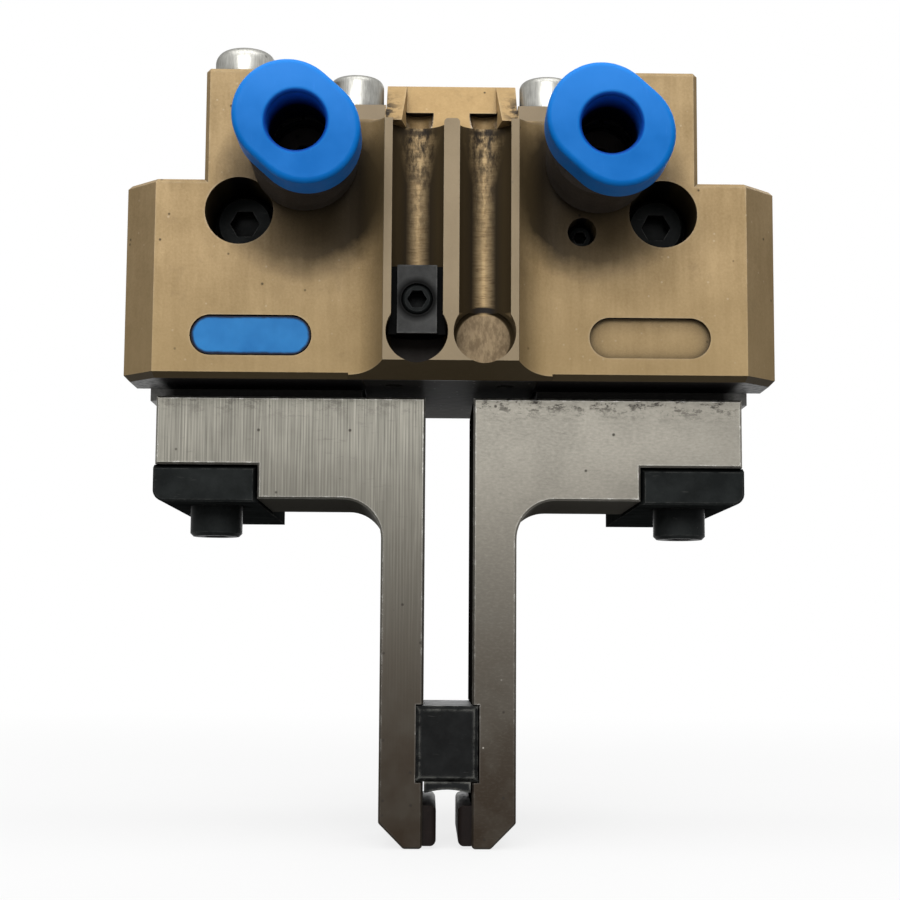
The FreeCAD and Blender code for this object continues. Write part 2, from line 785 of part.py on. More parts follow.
# Fitting pieces, made along +Z from the housing face outwards
def make_fitting_body():
    end = hole_spare - port_depth
    foot = fitting_foot_bevel
    head = fitting_head_bevel
    return lathe([
        (port_bore_radius, end), (port_radius, end), (port_radius, gasket_thickness),
        (fitting_radius - foot, gasket_thickness), (fitting_radius, gasket_thickness + foot),
        (fitting_radius, fitting_height - head), (fitting_radius - head, fitting_height),
        (fitting_mouth_radius, fitting_height), (fitting_mouth_radius, mouth_low),
        (fitting_chamber_radius, mouth_low), (fitting_chamber_radius, tube_seal_low),
        (tube_hole, tube_seal_low), (tube_hole, tube_seat), (port_bore_radius, tube_seat),
    ])


def make_gasket():
    return seal_ring(port_radius + port_gap, gasket_radius, 0, gasket_thickness)


def make_tube_seal():
    high = tube_seal_low + seal_section
    return seal_ring(tube_radius + seal_gap, fitting_chamber_radius, tube_seal_low, high)


def make_collet():
    """Spring-steel gripping ring with teeth that lean inwards."""
    outer = fitting_chamber_radius
    rim = outer - collet_rim
    rim_top = collet_low + collet_rim_height
    edge = tube_hole + bead_gap
    ring = lathe([
        (rim, collet_low), (outer, collet_low), (outer, rim_top), (rim, rim_top),
        (edge + collet_gap, collet_low + collet_height * 0.6), (edge, collet_low + collet_height * 0.35),
    ])
    for i in range(8):
        slit = box(0, rim, -collet_slit / 2, collet_slit / 2, collet_low - spare, rim_top + spare)
        slit.rotate(V(0, 0, 0), V(0, 0, 1), 45 * i)
        ring = ring.cut(slit)
    return ring


def make_release_ring():
    """Oval collar to push in by hand, on a sleeve that is held in the fitting by a bead."""
    collar = obround(ring_length, ring_width, 0, 0, ring_low, ring_top)
    collar.rotate(V(0, 0, 0), V(1, 0, 0), 90)
    collar.rotate(V(0, 0, 0), V(0, 0, 1), ring_tilt)
    rim = edges_at(collar, lambda e: e.BoundBox.ZMin > ring_top - 0.01)
    collar = collar.makeFillet(ring_rounding, rim)
    inside = ring_low + ring_height / 4
    sleeve = lathe([
        (0, sleeve_end), (ring_bead_radius, sleeve_end), (ring_bead_radius, bead_top),
        (ring_sleeve_radius, bead_top), (ring_sleeve_radius, inside), (0, inside),
    ])
    hole = rod(tube_hole, V(0, 0, sleeve_end - spare), V(0, 0, ring_top + spare))
    ring = collar.fuse(sleeve).cut(hole)
    lip = edges_at(ring, lambda e: e.BoundBox.ZMin > ring_top - 0.01
                   and e.BoundBox.XLength < 3 * tube_radius)
    return ring.makeFillet(ring_lip, lip)


def make_stop():
    """Slot nut held in the left groove by its own set screw."""
    x = -groove_spacing / 2
    z0 = bottom + stop_level
    z1 = z0 + stop_height
    nut = rod(groove_radius - stop_gap, V(x, groove_axis, z0), V(x, groove_axis, z1))
    half = stop_width / 2
    shoulder = box(x - half, x + half, stop_face, groove_axis, z0, z1)
    back = box(x - groove_radius, x + groove_radius, groove_axis - stop_shoulder, groove_back, z0, z1)
    nut = nut.common(shoulder.fuse(back))
    return nut.cut(rod(stop_screw_radius, stop_screw_seat, V(x, groove_back, stop_screw_seat.z)))


def make_plate():
    back = front + recess_depth
    return obround(plate_length - 2 * plate_gap, plate_height - 2 * plate_gap, -plate_x,
                   bottom + plate_level, back - plate_thickness, back)


def main():
    os.makedirs("parts", exist_ok=True)
    up, down, forward = V(0, 0, 1), V(0, 0, -1), V(0, -1, 0)
    put("housing", make_housing())
    put("cylinder_cover", make_cover())
    put("cylinder_cover_seal", make_bore_seal(spigot_groove_low))
    put("rod_seal", make_rod_seal())
    put("bottom_guard", make_guard())
    length = cover_screw_length - hole_spare
    cover_screw = cap_screw(screw_cover, length, cover_screw_rounding)
    put("cover_screws", *[place(cover_screw, spot, up) for spot in cover_screw_spots()])
    guard_screw = flat_screw(screw_flat, guard_screw_length - hole_spare)
    put("guard_screws", *[place(guard_screw, spot, down) for spot in guard_screw_spots()])
    plug = cap_screw(screw_plug, plug_screw_length - hole_spare, plug_rounding)
    put("port_plug_screw", place(plug, plug_spot, up))
    grip = -mount_spots()[0].y
    mount_screw = cap_screw(screw_m2_5, grip + mount_stickout, neck=(mount_neck_radius, grip))
    put("mounting_screws", *[place(mount_screw, spot, forward) for spot in mount_spots()])
    bleed = grub_screw(bleed_radius, bleed_depth - bleed_sink, bleed_socket)
    put("bleed_screw", place(bleed, V(bleed_offset, front + bleed_sink, bottom + bleed_level), forward))
    put("name_plate_blank", make_plate())

    put("piston", make_piston())
    put("piston_seal", make_bore_seal(piston_seal_low))
    put("piston_magnet", make_piston_magnet())
    piston_screw = cap_screw(screw_m2, piston_screw_length - hole_spare)
    put("piston_screw", place(piston_screw, piston_screw_seat, up))
    put("wedge_hook", make_wedge())

    clamp_screw = cap_screw(screw_clamp, clamp_screw_length)
    clamp_screw = place(clamp_screw, V(clamp_screw_x, clamp_screw_y, clamp_bottom), down)
    end = dowel_radius - dowel_bevel
    dowel = lathe([
        (0, 0), (end, 0), (dowel_radius, dowel_bevel), (dowel_radius, dowel_length - dowel_bevel),
        (end, dowel_length), (0, dowel_length),
    ])
    dowels = [place(dowel, spot - V(0, 0, dowel_length / 2), up) for spot in dowel_spots()]
    sides = {"left": mirrored, "right": lambda shape: shape}
    fitting = {
        "fitting_body": make_fitting_body(),
        "fitting_gasket": make_gasket(),
        "tube_seal": make_tube_seal(),
        "collet": make_collet(),
        "release_ring": make_release_ring(),
    }
    for side, turn in sides.items():
        put(f"base_jaw_{side}", turn(make_jaw()))
        put(f"finger_{side}", turn(make_finger()))
        put(f"clamp_{side}", turn(make_clamp()))
        put(f"clamp_screw_{side}", turn(clamp_screw))
        put(f"finger_dowels_{side}", *[turn(pin) for pin in dowels])
        put(f"tip_pad_{side}", turn(make_pad()))
        seat = turn(Part.Vertex(port_spacing / 2, front, bottom + port_level)).Point
        for name, shape in fitting.items():
            put(f"{name}_{side}", place(shape, seat, forward))
    put("stop_block", make_block())

    put("slot_stop", make_stop())
    point = stop_screw_radius - thread_tip
    length = groove_axis + math.sqrt(groove_radius ** 2 - point ** 2) - stop_screw_seat.y
    stop_screw = grub_screw(stop_screw_radius, length, stop_screw_socket)
    put("slot_stop_screw", place(stop_screw, stop_screw_seat, forward))


main()
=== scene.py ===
"""Studio scene of a small pneumatic parallel gripper: camera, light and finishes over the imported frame."""
import bpy
from math import tau
from mathutils import Matrix, Vector


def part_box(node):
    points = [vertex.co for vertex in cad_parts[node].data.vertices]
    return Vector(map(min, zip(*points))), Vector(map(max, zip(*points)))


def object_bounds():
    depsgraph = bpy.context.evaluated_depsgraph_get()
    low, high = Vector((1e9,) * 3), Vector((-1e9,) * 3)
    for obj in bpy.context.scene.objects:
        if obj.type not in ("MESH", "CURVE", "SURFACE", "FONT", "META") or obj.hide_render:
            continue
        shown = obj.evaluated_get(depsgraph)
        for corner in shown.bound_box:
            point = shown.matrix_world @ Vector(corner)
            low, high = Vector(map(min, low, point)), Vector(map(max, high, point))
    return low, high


MM = 0.001
X, Y, Z = range(3)
WHITE = (1.0, 1.0, 1.0, 1.0)
# Near-black used for soot, and for painted shade in hollows
SOOT_AND_SHADE = (0.010, 0.007, 0.005)

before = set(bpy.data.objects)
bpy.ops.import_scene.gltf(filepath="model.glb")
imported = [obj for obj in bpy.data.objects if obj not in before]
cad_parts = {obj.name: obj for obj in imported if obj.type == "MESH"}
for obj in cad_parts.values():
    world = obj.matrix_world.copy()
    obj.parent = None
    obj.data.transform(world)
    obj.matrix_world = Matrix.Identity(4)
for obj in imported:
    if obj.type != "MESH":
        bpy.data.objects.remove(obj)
cad_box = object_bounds()
scene = bpy.context.scene
scene.view_settings.view_transform = "Standard"


def box_mm(node):
    """Lowest and highest corner of a node, in millimetres."""
    low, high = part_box(node)
    return low / MM, high / MM


# Camera: its place in the frame's millimetres, its turns about its own axes (right, down, forward)
# and its lens
camera_place = (-1.601, -157.006, -32.59)
camera_turn = (-0.10771, -0.01244, 0.00707)
focal_pixels = 1783.5
image_width = 900.0
sensor_width = 36.0
near_clip = 0.002

# Places on the part that the finishes follow, in the frame's millimetres
front = box_mm("name_plate_blank")[0].y
ridge_front = box_mm("housing")[0].y
mount_x = 16.15
counterbore_radius = 2.6
foot_end_x = 21.8

stop_low, stop_high = box_mm("slot_stop")
stop_hole_radius = 1.2
groove_x = -(stop_low.x + stop_high.x) / 2
groove_back = stop_high.y
entry_z = -9.42
entry_radius = 2.35
cover_spigot = 1.5
groove_head = box_mm("cylinder_cover")[0].z + cover_spigot

notch_radius = 1.1
notch_axis_y = groove_back + 0.65
notch_top = groove_head + 1.5
slope_half_width = 5.1

fitting_low, fitting_high = box_mm("fitting_body_right")
port_x = (fitting_low.x + fitting_high.x) / 2
port_z = (fitting_low.z + fitting_high.z) / 2
collar_bore_radius = 2.1
collar_front = box_mm("release_ring_right")[0].y

finger_low, finger_high = box_mm("finger_left")
finger_tip = finger_low.z
finger_top = finger_high.z


class Finish:
    """One material: its nodes, and its colour and relief so far. Lengths are in millimetres."""

    def __init__(self, name, rough, metal=0.0, specular=0.5):
        self.material = bpy.data.materials.new(name)
        self.material.use_nodes = True
        self.tree = self.material.node_tree
        self.shader = self.tree.nodes["Principled BSDF"]
        self.set("Roughness", rough)
        self.set("Metallic", metal)
        self.set("Specular IOR Level", specular)
        metres = self.add("ShaderNodeTexCoord").outputs["Object"]
        to_mm = self.add("ShaderNodeVectorMath", metres, None, None, 1.0 / MM, operation="SCALE")
        self.place = to_mm.outputs[0]
        self.axes = self.add("ShaderNodeSeparateXYZ", self.place).outputs
        self.colour = None
        self.relief = None

    def feed(self, socket, value):
        """Links a socket to another one, or sets it to a plain value."""
        if isinstance(value, bpy.types.NodeSocket):
            self.tree.links.new(value, socket)
        else:
            socket.default_value = value

    def set(self, name, value):
        """Feeds one of the shader's inputs."""
        self.feed(self.shader.inputs[name], value)

    def add(self, kind, *values, **settings):
        """A new node with some settings, and with values for its first inputs."""
        node = self.tree.nodes.new(kind)
        for key, value in settings.items():
            setattr(node, key, value)
        for socket, value in zip(node.inputs, values):
            if value is not None:
                self.feed(socket, value)
        return node

    def math(self, operation, a, b=0.0):
        return self.add("ShaderNodeMath", a, b, operation=operation).outputs[0]

    def times(self, *values):
        product = values[0]
        for value in values[1:]:
            product = self.math("MULTIPLY", product, value)
        return product

    def plus(self, *values):
        total = values[0]
        for value in values[1:]:
            total = self.math("ADD", total, value)
        return total

    def inverse(self, share):
        return self.math("SUBTRACT", 1.0, share)

    def ramp(self, value, start, end):
        """Straight ramp between two (input, output) pairs, flat outside them."""
        return self.add("ShaderNodeMapRange", value, start[0], end[0], start[1], end[1]).outputs[0]

    def cells(self, kind, size, stretch, seed):
        """A texture with features of a size, drawn out along the axes by stretch."""
        where = self.add("ShaderNodeMapping", self.place)
        where.inputs["Scale"].default_value = [1.0 / (size * s) for s in stretch]
        where.inputs["Location"].default_value = (seed, seed * 0.7, seed * 1.3)
        node = self.add(kind, where.outputs[0])
        node.inputs["Scale"].default_value = 1.0
        return node

    def noise(self, size, stretch=(1, 1, 1), detail=3.0, rough=0.55, seed=0.0, swirl=0.0):
        """Cloudy texture between 0 and 1."""
        node = self.cells("ShaderNodeTexNoise", size, stretch, seed)
        node.inputs["Detail"].default_value = detail
        node.inputs["Roughness"].default_value = rough
        node.inputs["Distortion"].default_value = swirl
        return node.outputs[0]

    def specks(self, size, amount, seed=0.0):
        """Small separate spots: about amount of the cells have one."""
        node = self.cells("ShaderNodeTexVoronoi", size, (1, 1, 1), seed)
        spot = self.ramp(node.outputs["Distance"], (0.10, 1.0), (0.22, 0.0))
        pick = self.add("ShaderNodeSeparateColor", node.outputs["Color"]).outputs[0]
        return self.times(spot, self.math("LESS_THAN", pick, amount))

    def above(self, axis, level, soft):
        """0 below a level along an axis and 1 above it, over a soft width to each side."""
        return self.ramp(self.axes[axis], (level - soft, 0.0), (level + soft, 1.0))

    def below(self, axis, level, soft):
        return self.inverse(self.above(axis, level, soft))

    def between(self, axis, low, high, soft):
        return self.times(self.above(axis, low, soft), self.below(axis, high, soft))

    def from_middle(self):
        """Distance from the plane between the left and the right half."""
        return self.math("ABSOLUTE", self.axes[X])

    def off(self, axis, place):
        """Signed distance along an axis from a place."""
        return self.math("SUBTRACT", self.axes[axis], place)

    def off_pair(self, x):
        """Signed distance along X from the nearer one of two places, x to either side of the middle."""
        return self.math("SUBTRACT", self.from_middle(), x)

    def reach(self, a, b):
        """Length of the two sides a and b across their corner."""
        return self.math("SQRT", self.plus(self.times(a, a), self.times(b, b)))

    def from_axis_pair(self, x, z):
        """Distance from the nearer one of two axes along Y, x to either side and at a height z."""
        return self.reach(self.off_pair(x), self.off(Z, z))

    def mix(self, share, under, over):
        """Two colours mixed by a share of the one over."""
        node = self.add("ShaderNodeMix", data_type="RGBA")
        self.feed(node.inputs[0], share)
        for socket, value in ((node.inputs[6], under), (node.inputs[7], over)):
            self.feed(socket, value if isinstance(value, bpy.types.NodeSocket) else (*value, 1.0))
        return node.outputs[2]

    def paint(self, over, *shares):
        """Lays a colour over the colour so far, by the product of some shares."""
        self.colour = self.mix(self.times(*shares), self.colour, over)

    def normal(self):
        return self.add("ShaderNodeNewGeometry").outputs["Normal"]

    def facing(self):
        """How far a face points along each axis, from -1 to 1."""
        return self.add("ShaderNodeSeparateXYZ", self.normal()).outputs

    def edges(self, width):
        """1 along the edges of a piece, within about a width."""
        soft = self.add("ShaderNodeBevel", samples=4)
        soft.inputs["Radius"].default_value = width * MM
        turn = self.add("ShaderNodeVectorMath", soft.outputs[0], self.normal(), operation="DOT_PRODUCT")
        return self.ramp(turn.outputs["Value"], (0.98, 0.0), (0.84, 1.0))

    def crevice(self, reach, low=0.35, high=0.85):
        """1 in corners and narrow gaps, 0 in the open."""
        node = self.add("ShaderNodeAmbientOcclusion", samples=4)
        node.inputs["Distance"].default_value = reach * MM
        return self.ramp(node.outputs["AO"], (low, 1.0), (high, 0.0))

    def bump(self, height, depth):
        """Adds relief: a height between 0 and 1 that stands a depth."""
        rise = self.times(height, depth * MM)
        self.relief = rise if self.relief is None else self.plus(self.relief, rise)

    def done(self):
        """Joins the colour and the relief to the shader."""
        self.set("Base Color", self.colour)
        if self.relief is not None:
            node = self.add("ShaderNodeBump")
            node.inputs["Distance"].default_value = 1.0
            self.feed(node.inputs["Height"], self.relief)
            self.set("Normal", node.outputs[0])
        return self.material


def scaled(colour, factor, lift=0.0, most=1.0):
    """A colour times a factor, lifted a little, and no part of it over a most."""
    return [min(c * factor + lift, most) for c in colour]


def anodised(name, pale, deep, wear, stain_and_shade):
    """Hard-anodised aluminium: satin, clouded, fine-grained, edge-rubbed, with painted shade and dirt in
    corners.
    """
    look = Finish(name, rough=0.5, metal=0.08, specular=0.1)
    cloud = look.noise(size=4.5, detail=6.0, rough=0.6, seed=3.0)
    streak = look.noise(size=0.5, stretch=(1, 1, 9), detail=4.0, seed=8.0)
    grain = look.noise(size=0.2, detail=2.0)
    tone = look.plus(look.times(cloud, 0.5), look.times(streak, 0.25), look.times(grain, 0.25))
    look.colour = look.mix(look.ramp(tone, (0.36, 0.0), (0.64, 1.0)), deep, pale)
    dirt = look.noise(size=3.0, detail=6.0, rough=0.7, seed=21.0)
    look.paint(stain_and_shade, look.ramp(dirt, (0.60, 0.0), (0.78, 0.4)))
    look.paint(scaled(stain_and_shade, 0.4), look.specks(size=0.65, amount=0.035, seed=5.0), 0.9)
    look.paint(wear, look.specks(size=0.5, amount=0.10, seed=27.0), 0.45)
    patchy = look.noise(size=0.9, detail=5.0, seed=13.0)
    look.paint(wear, look.edges(0.3), look.ramp(patchy, (0.35, 0.05), (0.62, 0.6)))
    # Painted shade and dirt in corners and narrow gaps
    look.paint(scaled(stain_and_shade, 0.25), look.crevice(1.2), 0.75)
    look.set("Roughness", look.ramp(tone, (0.3, 0.56), (0.7, 0.42)))
    look.bump(grain, depth=0.008)
    look.bump(streak, depth=0.004)
    return look


def shade_and_soil_face(look):
    """The ridge's lands are greyer, and painted shadow with dirt lies round and below the fittings."""
    land = look.below(Y, ridge_front + 0.06, soft=0.04)
    look.paint((0.255, 0.202, 0.132), land, 0.85)
    # Painted shade in the corners round the fittings, stronger low down
    lower = look.ramp(look.axes[Z], (port_z - 0.5, 0.9), (port_z + 2.8, 0.3))
    look.paint((0.030, 0.021, 0.013), look.crevice(4.5, low=0.35, high=0.92), lower)
    # Painted shadow of each fitting, with dirt, dropped below it and spread towards the ridge
    ragged = look.times(look.noise(size=2.0, detail=4.0, seed=15.0), 1.6)
    spread = look.plus(look.from_axis_pair(port_x, port_z - 2.0), ragged)
    painted_shadow_and_grime = look.ramp(spread, (6.3, 1.0), (8.2, 0.0))
    inner = look.ramp(look.from_middle(), (port_x - 4.5, 0.95), (port_x + 3.0, 0.55))
    fore = look.below(Y, front + 2.0, soft=1.0)
    look.paint((0.010, 0.007, 0.004), painted_shadow_and_grime, inner, fore, look.inverse(land))


def shade_and_wear_grooves(look, flake):
    """Painted shade on the grooves' sides, a painted sheen on the worn strip at their backs, a dark left
    entry.
    """
    aside = look.math("ABSOLUTE", look.off_pair(groove_x))
    inside = look.times(look.between(Y, ridge_front + 0.7, groove_back + 0.6, soft=0.25),
                        look.ramp(aside, (entry_radius + 0.15, 1.0), (entry_radius + 0.35, 0.0)),
                        look.above(Z, entry_z - entry_radius + 0.05, soft=0.02))
    upper = look.above(Z, entry_z + entry_radius - 0.45, soft=0.1)
    flaked = look.ramp(flake, (0.40, 0.0), (0.58, 1.0))
    disc = look.mix(flaked, (0.20, 0.14, 0.078), (0.36, 0.265, 0.155))
    ribs = look.noise(size=0.16, stretch=(6, 6, 1), detail=3.0, rough=0.6, seed=4.0)
    ribbed = look.mix(look.ramp(ribs, (0.4, 0.0), (0.6, 1.0)), (0.40, 0.272, 0.132), (0.56, 0.40, 0.205))
    dirty = look.math("MAXIMUM", look.above(Z, 0.2, soft=5.0), look.ramp(ribs, (0.36, 0.5), (0.46, 0.0)))
    strip = look.mix(look.times(dirty, look.inverse(flaked)), ribbed, (0.05, 0.034, 0.018))
    look.paint(look.mix(upper, disc, strip), inside, 0.9)
    # Painted shade beside the strip, which is wider near the head, and on the entries' rims; then dirt at the
    # head
    strip_half = look.ramp(look.axes[Z], (groove_head - 4.5, 0.95), (groove_head - 1.0, 1.8))
    across = look.ramp(look.math("DIVIDE", aside, strip_half), (0.08, 0.0), (1.0, 1.0))
    shaded_sides = look.times(upper, look.math("POWER", across, 0.7))
    away = look.from_axis_pair(groove_x, entry_z)
    rim = look.times(look.ramp(away, (entry_radius - 0.35, 0.0), (entry_radius - 0.2, 1.0)),
                     look.ramp(away, (entry_radius + 0.15, 1.0), (entry_radius + 0.25, 0.0)))
    left_entry = look.times(look.math("LESS_THAN", look.axes[X], 0.0), look.inverse(upper))
    head = look.times(look.above(Z, groove_head - 2.0, soft=1.2), look.ramp(flake, (0.42, 0.75), (0.60, 0.0)))
    seam = look.times(look.between(Z, groove_head - 0.5, groove_head - 0.1, soft=0.1), 0.75)
    for share in (shaded_sides, rim, left_entry, head, seam):
        look.paint(SOOT_AND_SHADE, inside, share)


def shade_holes_slopes_and_underside(look, flake):
    """Painted shade fills the counterbores and darkens side and down faces; the foot's underside is bare only
    at its ends.
    """
    # Painted shade inside the counterbores
    hole = look.ramp(look.from_axis_pair(mount_x, 0.0),
                     (counterbore_radius + 0.03, 1.0), (counterbore_radius + 0.08, 0.0))
    look.paint(SOOT_AND_SHADE, hole, look.between(Y, front + 0.15, front + 8.0, soft=0.1))
    facing = look.facing()
    # Painted shade on faces that turn sideways, and on faces that turn downwards
    look.paint((0.10, 0.07, 0.033), look.ramp(look.math("ABSOLUTE", facing[X]), (0.25, 0.0), (0.7, 0.5)))
    look.paint((0.026, 0.019, 0.009), look.ramp(facing[Z], (-0.7, 0.92), (-0.5, 0.0)))
    # The underside is painted near-black with shade, except at its ends, which are bare metal
    end = look.ramp(look.from_middle(), (foot_end_x, 0.0), (foot_end_x + 0.8, 1.0))
    bare = look.mix(look.ramp(flake, (0.4, 0.0), (0.6, 1.0)), (0.12, 0.12, 0.12), (0.36, 0.355, 0.35))
    foot = look.mix(end, (0.006, 0.005, 0.006), bare)
    look.paint(foot, look.ramp(facing[Z], (-0.98, 1.0), (-0.9, 0.0)))


def housing_finish():
    """Anodised block that is browner towards its foot."""
    look = anodised("anodised_housing", pale=(0.460, 0.326, 0.168), deep=(0.318, 0.219, 0.104),
                    wear=(0.60, 0.49, 0.34), stain_and_shade=(0.12, 0.08, 0.045))
    look.paint((0.345, 0.243, 0.112), look.ramp(look.axes[Z], (-4.0, 0.0), (-11.0, 0.45)))
    flake = look.noise(size=0.55, stretch=(1, 1, 2.2), detail=6.0, rough=0.7, seed=2.0)
    shade_and_soil_face(look)
    shade_and_wear_grooves(look, flake)
    shade_holes_slopes_and_underside(look, flake)
    return look.done()


def cover_finish():
    """Anodised cover: greyer flange, black spots on the slope's outer corners, dirty notches with painted
    shadow on top.
    """
    look = anodised("anodised_cover", pale=(0.50, 0.34, 0.158), deep=(0.40, 0.265, 0.118),
                    wear=(0.62, 0.48, 0.29), stain_and_shade=(0.05, 0.035, 0.02))
    sideways = look.from_middle()
    flange = look.ramp(sideways, (slope_half_width - 0.05, 0.0), (slope_half_width + 0.05, 1.0))
    look.paint((0.245, 0.20, 0.14), flange, 0.85)
    outer = look.ramp(sideways, (slope_half_width - 1.4, 0.0), (slope_half_width - 0.2, 1.0))
    low = look.below(Z, notch_top + 1.0, soft=1.0)
    spots = look.noise(size=0.8, detail=5.0, rough=0.65, seed=6.0)
    spotted = look.ramp(spots, (0.44, 0.0), (0.53, 1.0))
    look.paint((0.012, 0.009, 0.008), spotted, outer, look.inverse(flange), low, 0.95)
    away = look.reach(look.off_pair(groove_x), look.off(Y, notch_axis_y))
    notch = look.times(look.ramp(away, (notch_radius + 0.02, 1.0), (notch_radius + 0.08, 0.0)),
                       look.below(Z, notch_top + 0.03, soft=0.02))
    crumbs = look.noise(size=0.3, stretch=(1.5, 1, 1), detail=6.0, rough=0.75, seed=19.0)
    dirt = look.mix(look.ramp(crumbs, (0.45, 0.0), (0.56, 1.0)), (0.03, 0.022, 0.016), (0.46, 0.37, 0.26))
    # Painted shadow near-black at the top of each notch, dirt speckled below it
    look.paint(look.mix(look.above(Z, notch_top - 0.55, soft=0.25), dirt, (0.006, 0.004, 0.004)), notch)
    return look.done()


def ground_lines(look, seed):
    """Upright scratches over the even passes of a grinding wheel."""
    pass_width = 0.24
    scratches = look.noise(size=0.09, stretch=(1, 1, 60), detail=1.5, rough=0.6, seed=seed)
    drift = look.times(look.noise(size=2.0, stretch=(1, 1, 8), seed=seed + 3.0), 9.0)
    passes = look.math("SINE", look.plus(look.times(look.axes[X], tau / pass_width), drift))
    return look.plus(look.times(scratches, 0.6), look.times(passes, 0.065), 0.2)


def finger_finish(name, top, tip, seed, ground):
    """Steel with painted shade that darkens it towards the tips: ground in upright lines, or rubbed to a fine
    grain.
    """
    look = Finish(name, rough=0.42, metal=0.8, specular=0.0)
    look.set("Specular Tint", (0.3, 0.3, 0.3, 1.0))
    # Painted shade: the colour falls from the top colour to the tip colour towards the tips
    painted_falloff = look.ramp(look.axes[Z], (finger_top - 4.0, 1.0), (finger_tip, 0.0))
    look.colour = look.mix(look.math("POWER", painted_falloff, 1.8), tip, top)
    cloud = look.noise(size=5.0, detail=4.0, seed=seed + 4.0)
    look.paint(scaled(top, 0.5), look.ramp(cloud, (0.38, 0.25), (0.55, 0.0)))
    if ground:
        line = ground_lines(look, seed)
        contrast = look.times(look.math("POWER", painted_falloff, 3.0), 0.7)
        crust_share = 0.4
        line_depth = 0.006
    else:
        line = look.noise(size=0.16, stretch=(2.2, 1, 1), detail=4.0, rough=0.6, seed=seed, swirl=0.3)
        contrast = look.ramp(painted_falloff, (0.0, 0.05), (1.0, 0.16))
        crust_share = 1.0
        line_depth = 0.003
    look.paint(scaled(top, 0.25), look.ramp(line, (0.32, 0.55), (0.5, 0.0)), contrast)
    look.paint(scaled(top, 2.0, most=0.8), look.ramp(line, (0.5, 0.0), (0.7, 0.45)), contrast)
    scuff = look.noise(size=0.5, stretch=(5, 1, 1), detail=6.0, rough=0.7, seed=seed + 9.0)
    look.paint(scaled(top, 0.35), look.ramp(scuff, (0.62, 0.0), (0.74, 0.35)), painted_falloff)
    crust = look.noise(size=0.55, stretch=(2, 1, 1), detail=8.0, rough=0.85, seed=17.0)
    near_top = look.above(Z, finger_top - 1.1, soft=0.8)
    look.paint((0.024, 0.021, 0.018), look.ramp(crust, (0.51, 0.0), (0.56, 1.0)), near_top, crust_share)
    look.paint((0.03, 0.026, 0.022), look.specks(size=0.7, amount=0.07, seed=seed), 0.85)
    near_tip = look.below(Z, finger_tip + 10.0, soft=4.0)
    look.paint((0.55, 0.52, 0.46), look.specks(size=0.45, amount=0.035, seed=seed + 2.0), near_tip)
    # Painted highlights along the edges, fading towards the tips
    patchy = look.noise(size=0.7, detail=4.0, seed=seed + 6.0)
    look.paint((0.85, 0.84, 0.80), look.edges(0.2), look.ramp(patchy, (0.52, 0.3), (0.62, 1.0)), painted_falloff, 0.9)
    # The sides towards the gap and the undersides are dull; painted shade darkens both, with dirt on the
    # sides
    facing = look.facing()
    inward = look.times(facing[X], look.math("SIGN", look.axes[X]))
    side = look.ramp(inward, (-0.95, 1.0), (-0.6, 0.0))
    under = look.ramp(facing[Z], (-0.9, 1.0), (-0.3, 0.0))
    look.paint(scaled(top, 0.5), under, 0.9)
    look.paint((0.016, 0.0145, 0.013), side, 0.9)
    look.set("Metallic", look.ramp(look.math("MAXIMUM", side, under), (0.0, 0.8), (1.0, 0.0)))
    look.set("Roughness", look.ramp(line, (0.3, 0.50), (0.7, 0.38)))
    look.bump(line, line_depth)
    return look.done()


def metal_finish(name, base, deep, rough, metal=0.9, wear=0.4, specular=0.5):
    """Turned or drawn metal: fine lines, small pits, rubbed edges, and painted shade with dirt in its
    corners.
    """
    look = Finish(name, rough, metal, specular)
    look.set("Specular Tint", (0.4, 0.4, 0.4, 1.0))
    line = look.noise(size=0.12, stretch=(1, 1, 8), detail=3.0, rough=0.6)
    cloud = look.noise(size=3.0, detail=4.0, seed=4.0)
    tone = look.plus(look.times(line, 0.5), look.times(cloud, 0.5))
    look.colour = look.mix(look.ramp(tone, (0.34, 0.0), (0.66, 1.0)), deep, base)
    look.paint(scaled(deep, 0.2), look.specks(size=0.9, amount=0.08, seed=6.0), 0.5)
    look.paint(scaled(base, 1.5, lift=0.05, most=0.9), look.edges(0.15), wear)
    # Painted shade and dirt in corners and narrow gaps
    look.paint((0.02, 0.018, 0.016), look.crevice(0.6), 0.8)
    look.set("Roughness", look.ramp(tone, (0.3, rough + 0.10), (0.7, rough - 0.05)))
    look.bump(line, depth=0.003)
    return look.done()


def guard_finish():
    """Dull grey plate with painted shade towards the front."""
    look = Finish("guard_steel", rough=0.55, specular=0.02)
    tone = look.noise(size=0.4, stretch=(3, 1, 1), detail=5.0, rough=0.65)
    share = look.ramp(tone, (0.35, 0.0), (0.65, 1.0))
    look.colour = look.mix(share, (0.030, 0.028, 0.025), (0.066, 0.062, 0.055))
    # Painted shade, darkest at the front edge
    look.paint((0.008, 0.007, 0.006), look.ramp(look.axes[Y], (front + 3.0, 0.8), (front + 12.0, 0.0)))
    look.paint((0.20, 0.195, 0.18), look.specks(size=0.6, amount=0.12, seed=4.0), 0.7)
    look.bump(tone, depth=0.006)
    return look.done()


def jaw_finish():
    """Jaw steel: near-black under the housing, partly painted shade, and bare at its two ends."""
    look = Finish("jaw_steel", rough=0.45, metal=0.3, specular=0.1)
    tone = look.noise(size=0.5, stretch=(1, 5, 1), detail=5.0, rough=0.65)
    # Near-black body colour, partly painted shade under the housing
    look.colour = look.mix(tone, (0.008, 0.0075, 0.007), (0.03, 0.028, 0.026))
    bare = look.mix(look.ramp(tone, (0.35, 0.0), (0.65, 1.0)), (0.20, 0.195, 0.185), (0.33, 0.325, 0.31))
    look.paint(bare, look.ramp(look.from_middle(), (foot_end_x - 0.2, 0.0), (foot_end_x + 0.8, 1.0)))
    look.bump(tone, depth=0.006)
    return look.done()


